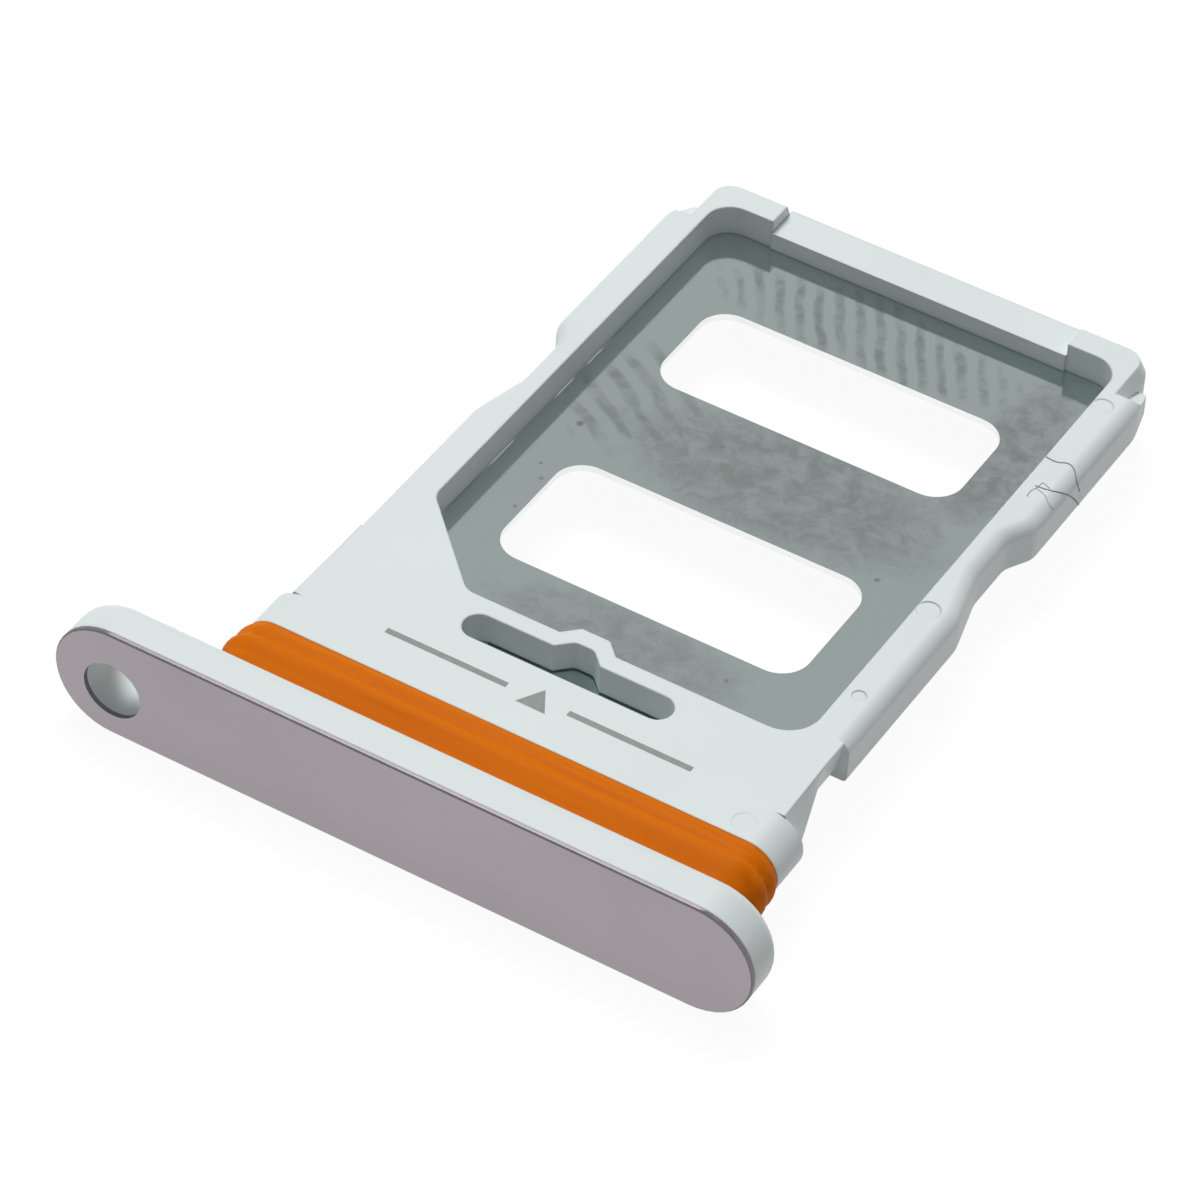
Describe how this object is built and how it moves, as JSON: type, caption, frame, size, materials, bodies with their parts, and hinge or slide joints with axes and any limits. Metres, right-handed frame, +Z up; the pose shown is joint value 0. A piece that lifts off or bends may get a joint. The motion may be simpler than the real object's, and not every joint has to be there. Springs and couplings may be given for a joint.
{
  "type": "sim card tray",
  "caption": "Flat pull-out card tray for a phone: moulded frame with a keyed nano card pocket over a windowed steel plate, a seal round the neck and a rounded bezel with an eject hole.",
  "frame": {"origin": "centre of the bounding box in plan, on the plane under the bezel", "axes": "+Y the way the tray slides into the phone, +Z up out of the open side of the card pocket, +X to the right seen from the bezel"},
  "size_m": [0.0148, 0.0184, 0.0024],
  "materials": {
    "white_moulding": "fine satin moulding",
    "plate_steel": "satin rolled sheet",
    "orange_silicone": "smooth silicone",
    "lilac_trim": "bead blasted and anodised lilac grey"
  },
  "bodies": {
    "root": {"tray_frame": "white_moulding", "card_plate": "plate_steel", "seal_ring": "orange_silicone", "face_plate": "lilac_trim"}
  },
  "joints": []
}
